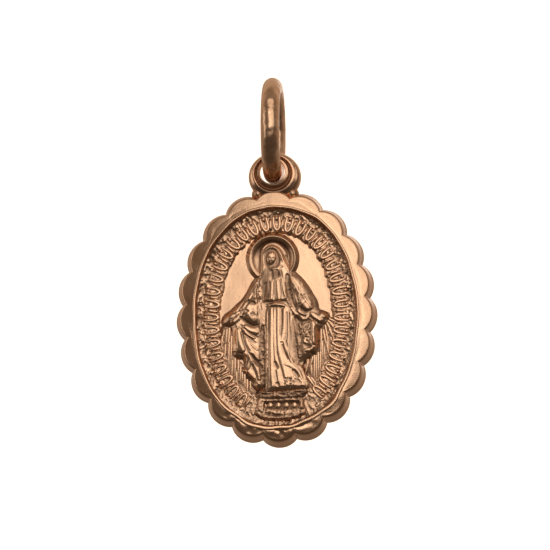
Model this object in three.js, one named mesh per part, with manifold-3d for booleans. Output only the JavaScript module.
// Religious medal pendant: a cast and struck oval medal with a scalloped edge,
// a raised figure in a sunk field, and a plain round jump ring through its eyelet.
// Millimetres, +Z up, the face of the medal looks along -Y.
// The origin is the inside top of the jump ring, where a chain lies.
import * as THREE from 'three';
import { mergeVertices } from 'three/addons/utils/BufferGeometryUtils.js';
import Module from 'manifold-3d';

// Jump ring: one round wire bent to a full circle, in the plane x = 0
const wireDiameter = 1.25;
const ringOuterDiameter = 6.93;
const ringSteps = 56;
const wireSides = 14;

// Eyelet: a rounded disc soldered in the medal's own plane, bored for the ring
const wireClearance = 0.295;
const eyeletWidth = 3.42;
const eyeletHeight = 3.16;
const eyeletThickness = 1.1;
const eyeletShift = 0.16;
const eyeletDrop = 0.2;
const eyeletSeat = 0.7;
const boreFlare = 0.12;

// Plate: the outline is a ring of equal round scallops along an oval
const medalWidth = 13.0;
const medalHeight = 16.8;
const medalShift = 0.22;
const scallopCount = 20;
const scallopDepth = 0.4;
const scallopShift = 0.2;
const edgeThickness = 1.2;
const edgeDraft = 0.26;
const edgeFillet = 0.12;
const backDepth = 0.62;

// Border and sunk field, as depths above the flat back
const borderWidth = 1.03;
const crestThickness = 1.38;
const crestWidth = 0.2;
const crestRoll = 0.04;
const innerWallRun = 0.26;
const fieldThickness = 0.98;

// Ornament band: eggs and darts between the crest and the field
const bandGap = 0.05;
const bandLength = 0.9;
const eggRise = 0.22;
const dartRise = 0.14;
const bandOpeningMotifs = 6;
const bandOpeningLean = 2;
const openingMargin = 0.045;

// Relief figure: heights from the veil's top to the hem, and from its axis to a hand
const figureHeight = 9.58;
const figureHalfWidth = 3.13;
const figureRise = 0.56;
const hemBelowCentre = 4.68;

const columnsPerScallop = 10;
const columnsPerMotif = 5;
const reliefRows = 64;
const reliefColumns = 30;
const columnCount = scallopCount * columnsPerScallop;
const degree = Math.PI / 180;

// Places that follow from the sizes above
const wireRadius = wireDiameter / 2;
const ringRadius = ringOuterDiameter / 2 - wireRadius;
const ringCentreZ = wireRadius - ringRadius;
const boreRadius = wireRadius + wireClearance;
const boreZ = ringCentreZ - ringRadius;
const eyeletZ = boreZ - eyeletDrop;
const medalX = medalShift;
const medalZ = eyeletZ - eyeletHeight / 2 + eyeletSeat - medalHeight / 2;
const backY = backDepth;

const wasm = await Module();
wasm.setup();

// Turns a three.js geometry into a solid that can be joined and cut
function solidOf(geometry) {
  const bare = geometry.index ? geometry.clone() : geometry;
  bare.deleteAttribute('normal');
  bare.deleteAttribute('uv');
  const merged = mergeVertices(bare, 1e-5);
  const corners = [];
  for (let i = 0; i < merged.index.count; i += 3) {
    const [a, b, c] = merged.index.array.slice(i, i + 3);
    if (a !== b && b !== c && c !== a) {
      corners.push(a, b, c);
    }
  }
  return new wasm.Manifold(new wasm.Mesh({
    numProp: 3,
    vertProperties: new Float32Array(merged.attributes.position.array),
    triVerts: new Uint32Array(corners),
  }));
}

// Turns a solid back into a three.js geometry
function geometryOf(solid) {
  const mesh = solid.getMesh();
  const geometry = new THREE.BufferGeometry();
  geometry.setAttribute('position', new THREE.BufferAttribute(mesh.vertProperties, 3));
  geometry.setIndex(new THREE.BufferAttribute(mesh.triVerts, 1));
  geometry.computeVertexNormals();
  return geometry;
}

// Oval helpers: a point, its outward normal, and equal steps along the edge
const cuspHalfWidth = medalWidth / 2 - scallopDepth;
const cuspHalfHeight = medalHeight / 2 - scallopDepth;

function ovalPoint(halfWidth, halfHeight, angle) {
  return new THREE.Vector2(halfWidth * Math.cos(angle), halfHeight * Math.sin(angle));
}

function ovalNormal(halfWidth, halfHeight, angle) {
  const normal = new THREE.Vector2(Math.cos(angle) / halfWidth, Math.sin(angle) / halfHeight);
  return normal.normalize();
}

function equalSteps(count, shift) {
  const fine = 4000;
  const length = [0];
  let last = ovalPoint(cuspHalfWidth, cuspHalfHeight, Math.PI / 2);
  for (let i = 1; i <= fine; i += 1) {
    const next = ovalPoint(cuspHalfWidth, cuspHalfHeight, Math.PI / 2 + 2 * Math.PI * i / fine);
    length.push(length[i - 1] + next.distanceTo(last));
    last = next;
  }
  const whole = length[fine];
  const angles = [];
  for (let j = 0; j < count; j += 1) {
    const wanted = (j / count * whole + shift + whole) % whole;
    let i = 1;
    while (length[i] < wanted) {
      i += 1;
    }
    const part = (wanted - length[i - 1]) / (length[i] - length[i - 1]);
    angles.push(Math.PI / 2 + 2 * Math.PI * (i - 1 + part) / fine);
  }
  return { angles, whole };
}

const edge = equalSteps(columnCount, scallopShift);

// How far a scallop stands out at a column: a round arc between two cusps
function scallopRise(column) {
  const halfChord = edge.whole / scallopCount / 2;
  const arcRadius = (halfChord ** 2 + scallopDepth ** 2) / (2 * scallopDepth);
  const across = ((column + columnsPerScallop / 2) % columnsPerScallop) / columnsPerScallop;
  const offset = (2 * across - 1) * halfChord;
  return Math.sqrt(arcRadius ** 2 - offset ** 2) - (arcRadius - scallopDepth);
}

// A point of the scalloped edge, moved inwards by a distance
function edgePoint(column, inset) {
  const angle = edge.angles[column];
  const normal = ovalNormal(cuspHalfWidth, cuspHalfHeight, angle);
  const point = ovalPoint(cuspHalfWidth, cuspHalfHeight, angle);
  return point.addScaledVector(normal, scallopRise(column) - inset);
}

// A point of the crest's oval, moved inwards by a distance
const crestHalfWidth = medalWidth / 2 - edgeDraft - borderWidth;
const crestHalfHeight = medalHeight / 2 - edgeDraft - borderWidth;

function crestPoint(column, inset) {
  return ovalPoint(crestHalfWidth - inset, crestHalfHeight - inset, edge.angles[column]);
}

// The band stays open at the bottom, where the pedestal stands. Its motifs are counted
// from the end of that opening.
const openingColumns = bandOpeningMotifs * columnsPerMotif;
const openingEnd = columnCount / 2 + bandOpeningLean + openingColumns / 2;

function bandColumn(column) {
  return (column - openingEnd + columnCount) % columnCount;
}

function inBandOpening(column) {
  return bandColumn(column) >= columnCount - openingColumns;
}

// Height of the ornament across one motif: an egg on two columns, a dart on the last
const motifColumns = [0, eggRise, eggRise, 0, dartRise];

function motifRise(column) {
  return inBandOpening(column) ? 0 : motifColumns[bandColumn(column) % columnsPerMotif];
}

const motifSteps = [
  { across: 0.0, share: 0 },
  { across: 0.14, share: 0.8 },
  { across: 0.5, share: 1 },
  { across: 0.84, share: 0.7 },
  { across: 1.0, share: 0 },
];

// Forms of the relief. Places are (across, up): across in half widths of the figure from
// its axis, up in figure heights from the hem. Widths are half widths, in the same half
// widths of the figure, at the start and the end. Rises are shares of the figure's rise.
const reliefForms = [
  { name: 'veil', from: [-0.09, 0.93], bend: [-0.08, 0.90], to: [-0.06, 0.86],
    width: [0.2, 0.25], rise: [0.72, 0.78] },
  { name: 'head', from: [-0.10, 0.92], bend: [-0.10, 0.89], to: [-0.09, 0.86],
    width: [0.11, 0.1], rise: [0.95, 0.95] },
  { name: 'shoulders', from: [-0.22, 0.76], bend: [-0.04, 0.84], to: [0.25, 0.77],
    width: [0.2, 0.22], rise: [0.7, 0.7] },
  { name: 'bodice', from: [-0.06, 0.80], bend: [0, 0.70], to: [0.05, 0.58],
    width: [0.2, 0.17], rise: [0.85, 1] },
  { name: 'mantle_side_left', from: [-0.24, 0.78], bend: [-0.26, 0.68], to: [-0.28, 0.52],
    width: [0.16, 0.14], rise: [0.7, 0.6] },
  { name: 'mantle_side_right', from: [0.15, 0.80], bend: [0.25, 0.68], to: [0.33, 0.55],
    width: [0.1, 0.14], rise: [0.8, 0.62] },
  { name: 'arm_left', from: [-0.40, 0.76], bend: [-0.52, 0.68], to: [-0.72, 0.53],
    width: [0.13, 0.13], rise: [0.72, 0.8] },
  { name: 'arm_right', from: [0.34, 0.77], bend: [0.46, 0.66], to: [0.72, 0.54],
    width: [0.13, 0.14], rise: [0.72, 0.8] },
  { name: 'cuff_left', from: [-0.66, 0.52], bend: [-0.56, 0.47], to: [-0.42, 0.44],
    width: [0.1, 0.06], rise: [0.6, 0.45] },
  { name: 'cuff_right', from: [0.70, 0.52], bend: [0.55, 0.49], to: [0.40, 0.54],
    width: [0.1, 0.06], rise: [0.6, 0.45] },
  { name: 'hand_left', from: [-0.74, 0.50], bend: [-0.84, 0.48], to: [-0.98, 0.455],
    width: [0.05, 0.045], rise: [0.75, 0.6] },
  { name: 'hand_right', from: [0.74, 0.51], bend: [0.86, 0.49], to: [1.0, 0.455],
    width: [0.05, 0.045], rise: [0.75, 0.6] },
  { name: 'mantle_fall_left', from: [-0.72, 0.45], bend: [-0.70, 0.26], to: [-0.40, 0.05],
    width: [0.12, 0.14], rise: [0.42, 0.5] },
  { name: 'mantle_fold_left', from: [-0.64, 0.42], bend: [-0.52, 0.32], to: [-0.42, 0.16],
    width: [0.07, 0.06], rise: [0.6, 0.5] },
  { name: 'mantle_tip_left', from: [-0.48, 0.24], bend: [-0.42, 0.12], to: [-0.30, 0.03],
    width: [0.1, 0.07], rise: [0.6, 0.4] },
  { name: 'mantle_fall_right', from: [0.70, 0.46], bend: [0.72, 0.34], to: [0.60, 0.24],
    width: [0.12, 0.1], rise: [0.5, 0.4] },
  { name: 'mantle_fold_right', from: [0.80, 0.42], bend: [0.80, 0.34], to: [0.76, 0.30],
    width: [0.06, 0.08], rise: [0.6, 0.5] },
  { name: 'robe', from: [0.02, 0.56], bend: [0.04, 0.30], to: [0.22, 0.03],
    width: [0.22, 0.42], rise: [0.62, 0.55] },
  { name: 'robe_fold_left', from: [-0.08, 0.56], bend: [-0.12, 0.30], to: [-0.10, 0.02],
    width: [0.06, 0.07], rise: [0.82, 0.75] },
  { name: 'robe_fold_middle', from: [0.03, 0.56], bend: [0.02, 0.30], to: [0.06, 0.02],
    width: [0.06, 0.08], rise: [0.9, 0.85] },
  { name: 'robe_fold_right', from: [0.15, 0.56], bend: [0.18, 0.42], to: [0.14, 0.32],
    width: [0.06, 0.05], rise: [0.85, 0.8] },
  { name: 'robe_edge_right', from: [0.27, 0.54], bend: [0.32, 0.36], to: [0.37, 0.18],
    width: [0.05, 0.05], rise: [0.7, 0.65] },
  { name: 'knee', from: [0.18, 0.32], bend: [0.26, 0.22], to: [0.34, 0.16],
    width: [0.08, 0.06], rise: [0.95, 0.75] },
  { name: 'robe_fold_low', from: [0.05, 0.28], bend: [0.12, 0.14], to: [0.26, 0.05],
    width: [0.06, 0.06], rise: [0.8, 0.7] },
  { name: 'drape_right', from: [0.26, 0.15], bend: [0.42, 0.14], to: [0.52, 0.04],
    width: [0.06, 0.07], rise: [0.75, 0.7] },
  { name: 'belt', from: [-0.07, 0.57], bend: [0.05, 0.565], to: [0.18, 0.57],
    width: [0.05, 0.05], rise: [0.98, 0.98] },
  { name: 'ground', from: [-0.36, -0.02], bend: [0.14, -0.02], to: [0.64, -0.02],
    width: [0.1, 0.1], rise: [0.6, 0.6] },
  { name: 'panel_left', from: [-0.34, -0.09], bend: [-0.34, -0.12], to: [-0.33, -0.15],
    width: [0.08, 0.08], rise: [0.5, 0.5] },
  { name: 'panel_right', from: [0.52, -0.09], bend: [0.52, -0.11], to: [0.53, -0.14],
    width: [0.08, 0.08], rise: [0.5, 0.5] },
  { name: 'foot_band', from: [-0.42, -0.16], bend: [0.10, -0.23], to: [0.62, -0.155],
    width: [0.05, 0.05], rise: [0.4, 0.4] },
];

// Halo round the head, open below, where the shoulders cover it
const halo = { place: [-0.07, 0.89], radius: 0.47, width: 0.08, rise: 0.36, opening: 62 };

// Row of plain pellets in the panel under the figure
const pellets = { count: 4, from: [-0.13, -0.113], to: [0.37, -0.113], width: 0.065, rise: 0.45 };

// Rays that fan down from each hand: the fan's root, its end points, and how many
const rayFans = [
  { root: [-0.95, 0.42], first: [-1.12, 0.26], last: [-0.80, 0.16], count: 4 },
  { root: [0.98, 0.42], first: [0.90, 0.20], last: [1.14, 0.30], count: 4 },
  { root: [0.84, 0.28], first: [0.72, 0.09], last: [0.90, 0.12], count: 3 },
];
const rayWidth = 0.04;
const rayRise = 0.3;

// Left and right limits of the relief at falling heights, in the same shares
const reliefLimits = [
  { up: 1.055, left: -0.28, right: 0.14 },
  { up: 1.02, left: -0.44, right: 0.30 },
  { up: 0.96, left: -0.57, right: 0.43 },
  { up: 0.88, left: -0.62, right: 0.48 },
  { up: 0.80, left: -0.60, right: 0.50 },
  { up: 0.73, left: -0.64, right: 0.62 },
  { up: 0.65, left: -0.72, right: 0.76 },
  { up: 0.57, left: -0.88, right: 0.92 },
  { up: 0.50, left: -1.08, right: 1.12 },
  { up: 0.42, left: -1.15, right: 1.17 },
  { up: 0.30, left: -1.16, right: 1.16 },
  { up: 0.20, left: -1.06, right: 1.06 },
  { up: 0.10, left: -0.90, right: 0.92 },
  { up: 0.03, left: -0.62, right: 0.73 },
  { up: -0.04, left: -0.49, right: 0.70 },
  { up: -0.10, left: -0.45, right: 0.68 },
  { up: -0.155, left: -0.40, right: 0.60 },
];

// How far the relief's first and last rows bulge outwards, in figure heights
const reliefBow = { top: 0.025, bottom: -0.05 };

function reliefPlace(share) {
  return new THREE.Vector2(
    share[0] * figureHalfWidth,
    share[1] * figureHeight - hemBelowCentre,
  );
}

// A rounded ridge along a bent line, from its start to its end
function ridge(form) {
  const line = new THREE.QuadraticBezierCurve(
    reliefPlace(form.from), reliefPlace(form.bend), reliefPlace(form.to));
  return {
    points: line.getPoints(8),
    width: form.width.map((share) => share * figureHalfWidth),
    rise: form.rise.map((share) => share * figureRise),
  };
}

function straightRidge(from, to, width, rise) {
  const bend = [(from[0] + to[0]) / 2, (from[1] + to[1]) / 2];
  return ridge({ from, bend, to, width: [width, width], rise: [rise, rise] });
}

function between(from, to, share) {
  return [from[0] + (to[0] - from[0]) * share, from[1] + (to[1] - from[1]) * share];
}

const ridges = reliefForms.map(ridge);
for (const fan of rayFans) {
  for (let i = 0; i < fan.count; i += 1) {
    const end = between(fan.first, fan.last, i / (fan.count - 1));
    ridges.push(straightRidge(fan.root, end, rayWidth, rayRise));
  }
}
for (let i = 0; i < pellets.count; i += 1) {
  const place = between(pellets.from, pellets.to, i / (pellets.count - 1));
  ridges.push(straightRidge(place, place, pellets.width, pellets.rise));
}

function ridgeHeight(shape, place) {
  let best = 0;
  const segments = shape.points.length - 1;
  for (let i = 0; i < segments; i += 1) {
    const from = shape.points[i];
    const along = shape.points[i + 1].clone().sub(from);
    const reach = place.clone().sub(from);
    const length = along.lengthSq();
    const share = length > 0 ? THREE.MathUtils.clamp(reach.dot(along) / length, 0, 1) : 0;
    const distance = reach.distanceTo(along.multiplyScalar(share));
    const at = (i + share) / segments;
    const width = THREE.MathUtils.lerp(shape.width[0], shape.width[1], at);
    const rise = THREE.MathUtils.lerp(shape.rise[0], shape.rise[1], at);
    if (distance < width) {
      best = Math.max(best, rise * (1 - (distance / width) ** 2));
    }
  }
  return best;
}

function haloHeight(place) {
  const fromCentre = place.clone().sub(reliefPlace(halo.place));
  const downward = Math.abs(Math.atan2(fromCentre.x, -fromCentre.y)) / degree;
  const offset = Math.abs(fromCentre.length() - halo.radius * figureHalfWidth);
  const width = halo.width * figureHalfWidth;
  if (downward < halo.opening || offset >= width) {
    return 0;
  }
  return halo.rise * figureRise * (1 - (offset / width) ** 2);
}

function reliefHeight(place) {
  const heights = ridges.map((shape) => ridgeHeight(shape, place));
  return Math.max(haloHeight(place), ...heights);
}

// A mesh under construction: places in the medal's plane with a depth above the back
const places = [];
const triangles = [];

function addPlace(point, depth) {
  places.push([medalX + point.x, backY - depth, medalZ + point.y]);
  return places.length - 1;
}

function addQuad(a, b, c, d) {
  triangles.push([a, b, c], [a, c, d]);
}

// Rings of the plate from the back edge inwards to the field
function plateRings() {
  const rings = [];
  const addRing = (pointOf, depthOf) => {
    const ring = [];
    for (let j = 0; j < columnCount; j += 1) {
      ring.push(addPlace(pointOf(j), depthOf(j)));
    }
    rings.push(ring);
  };
  addRing((j) => edgePoint(j, 0), () => 0);
  addRing((j) => edgePoint(j, edgeDraft), () => edgeThickness - edgeFillet);
  addRing((j) => edgePoint(j, edgeDraft + edgeFillet), () => edgeThickness);
  addRing((j) => crestPoint(j, -crestWidth), () => crestThickness - crestRoll);
  addRing((j) => crestPoint(j, 0), () => crestThickness);
  addRing((j) => crestPoint(j, innerWallRun), () => fieldThickness);
  const fullStart = innerWallRun + bandGap;
  for (const step of motifSteps) {
    addRing(
      (j) => crestPoint(j, fullStart + step.across * (inBandOpening(j) ? openingMargin : bandLength)),
      (j) => fieldThickness + motifRise(j) * step.share,
    );
  }
  return rings;
}

const rings = plateRings();
for (let k = 0; k < rings.length - 1; k += 1) {
  for (let j = 0; j < columnCount; j += 1) {
    const next = (j + 1) % columnCount;
    addQuad(rings[k][j], rings[k][next], rings[k + 1][next], rings[k + 1][j]);
  }
}

// Flat back, fanned from its middle
const backMiddle = addPlace(new THREE.Vector2(0, 0), 0);
for (let j = 0; j < columnCount; j += 1) {
  triangles.push([backMiddle, rings[0][(j + 1) % columnCount], rings[0][j]]);
}

// Relief: rows from the halo's top down to the foot, flat on the field all round
const limitLine = (side) => new THREE.SplineCurve(
  reliefLimits.map((row) => new THREE.Vector2(row[side], row.up)));
const leftLimit = limitLine('left');
const rightLimit = limitLine('right');

const reliefGrid = [];
for (let i = 0; i <= reliefRows; i += 1) {
  const left = leftLimit.getPoint(i / reliefRows);
  const right = rightLimit.getPoint(i / reliefRows);
  const bow = THREE.MathUtils.lerp(reliefBow.top, reliefBow.bottom, i / reliefRows);
  const row = [];
  for (let k = 0; k <= reliefColumns; k += 1) {
    const share = k / reliefColumns;
    const across = THREE.MathUtils.lerp(left.x, right.x, share);
    const place = reliefPlace([across, left.y + bow * 4 * share * (1 - share)]);
    const onEdge = i === 0 || i === reliefRows || k === 0 || k === reliefColumns;
    row.push(addPlace(place, fieldThickness + (onEdge ? 0 : reliefHeight(place))));
  }
  reliefGrid.push(row);
}
for (let i = 0; i < reliefRows; i += 1) {
  for (let k = 0; k < reliefColumns; k += 1) {
    const lower = reliefGrid[i + 1];
    addQuad(reliefGrid[i][k], lower[k], lower[k + 1], reliefGrid[i][k + 1]);
  }
}

// Flat field: a strip of triangles between the ornament band and the relief. Both edges
// are walked anticlockwise, always a step on the one that lags behind.
const reliefRing = [
  ...reliefGrid[0].toReversed(),
  ...reliefGrid.slice(1, -1).map((row) => row[0]),
  ...reliefGrid.at(-1),
  ...reliefGrid.slice(1, -1).toReversed().map((row) => row.at(-1)),
];
const reliefMiddle = reliefPlace([0, (reliefLimits[0].up + reliefLimits.at(-1).up) / 2]);

function walk(ring) {
  const steps = ring.map((index) => ({
    index,
    angle: Math.atan2(
      places[index][2] - medalZ - reliefMiddle.y, places[index][0] - medalX - reliefMiddle.x),
  }));
  const first = steps.reduce((low, step, i) => (step.angle < steps[low].angle ? i : low), 0);
  const ordered = [...steps.slice(first), ...steps.slice(0, first)];
  return [...ordered, { index: ordered[0].index, angle: ordered[0].angle + 2 * Math.PI }];
}

const outerWalk = walk(rings.at(-1));
const innerWalk = walk(reliefRing);
let outerStep = 0;
let innerStep = 0;
while (outerStep < outerWalk.length - 1 || innerStep < innerWalk.length - 1) {
  const outerNext = outerWalk[outerStep + 1]?.angle ?? Infinity;
  const innerNext = innerWalk[innerStep + 1]?.angle ?? Infinity;
  const here = [outerWalk[outerStep].index, innerWalk[innerStep].index];
  if (outerNext < innerNext) {
    outerStep += 1;
    triangles.push([here[0], outerWalk[outerStep].index, here[1]]);
  } else {
    innerStep += 1;
    triangles.push([here[0], innerWalk[innerStep].index, here[1]]);
  }
}

const plateGeometry = new THREE.BufferGeometry();
plateGeometry.setAttribute('position', new THREE.Float32BufferAttribute(places.flat(), 3));
plateGeometry.setIndex(triangles.flat());

// Eyelet: a disc with a round edge, bored with a flared hole for the ring
function eyeletDisc() {
  const roundness = eyeletThickness / 2;
  const outer = eyeletWidth / 2;
  const profile = [new THREE.Vector2(0, -roundness)];
  const edgeSteps = 6;
  for (let i = 0; i <= edgeSteps; i += 1) {
    const angle = -Math.PI / 2 + Math.PI * i / edgeSteps;
    profile.push(new THREE.Vector2(
      outer - roundness + roundness * Math.cos(angle), roundness * Math.sin(angle)));
  }
  profile.push(new THREE.Vector2(0, roundness));
  const disc = new THREE.LatheGeometry(profile, 32);
  disc.scale(1, 1, eyeletHeight / eyeletWidth);
  return disc.translate(medalX - medalShift + eyeletShift, 0, eyeletZ);
}

function boreTool() {
  const half = eyeletThickness / 2;
  const wide = boreRadius + boreFlare;
  const profile = [
    new THREE.Vector2(0, -half - boreFlare),
    new THREE.Vector2(wide + boreFlare, -half - boreFlare),
    new THREE.Vector2(wide, -half),
    new THREE.Vector2(boreRadius, -half / 2),
    new THREE.Vector2(boreRadius, half / 2),
    new THREE.Vector2(wide, half),
    new THREE.Vector2(wide + boreFlare, half + boreFlare),
    new THREE.Vector2(0, half + boreFlare),
  ];
  return new THREE.LatheGeometry(profile, 24).translate(0, 0, boreZ);
}

const medalSolid = solidOf(plateGeometry).add(solidOf(eyeletDisc())).subtract(solidOf(boreTool()));

// Jump ring: a plain torus standing fore and aft
const ringGeometry = new THREE.TorusGeometry(ringRadius, wireRadius, wireSides, ringSteps);

const roseGold = new THREE.MeshStandardMaterial({ color: 0xc88f68, roughness: 0.28, metalness: 1 });
const ringMetal = new THREE.MeshStandardMaterial({ color: 0xb87a50, roughness: 0.18, metalness: 1 });

const pendant = new THREE.Group();

const medal = new THREE.Mesh(geometryOf(medalSolid), roseGold);
medal.name = 'medal';
pendant.add(medal);

const jumpRing = new THREE.Mesh(ringGeometry, ringMetal);
jumpRing.name = 'jump_ring';
jumpRing.rotation.y = Math.PI / 2;
jumpRing.position.z = ringCentreZ;
pendant.add(jumpRing);

export default pendant;
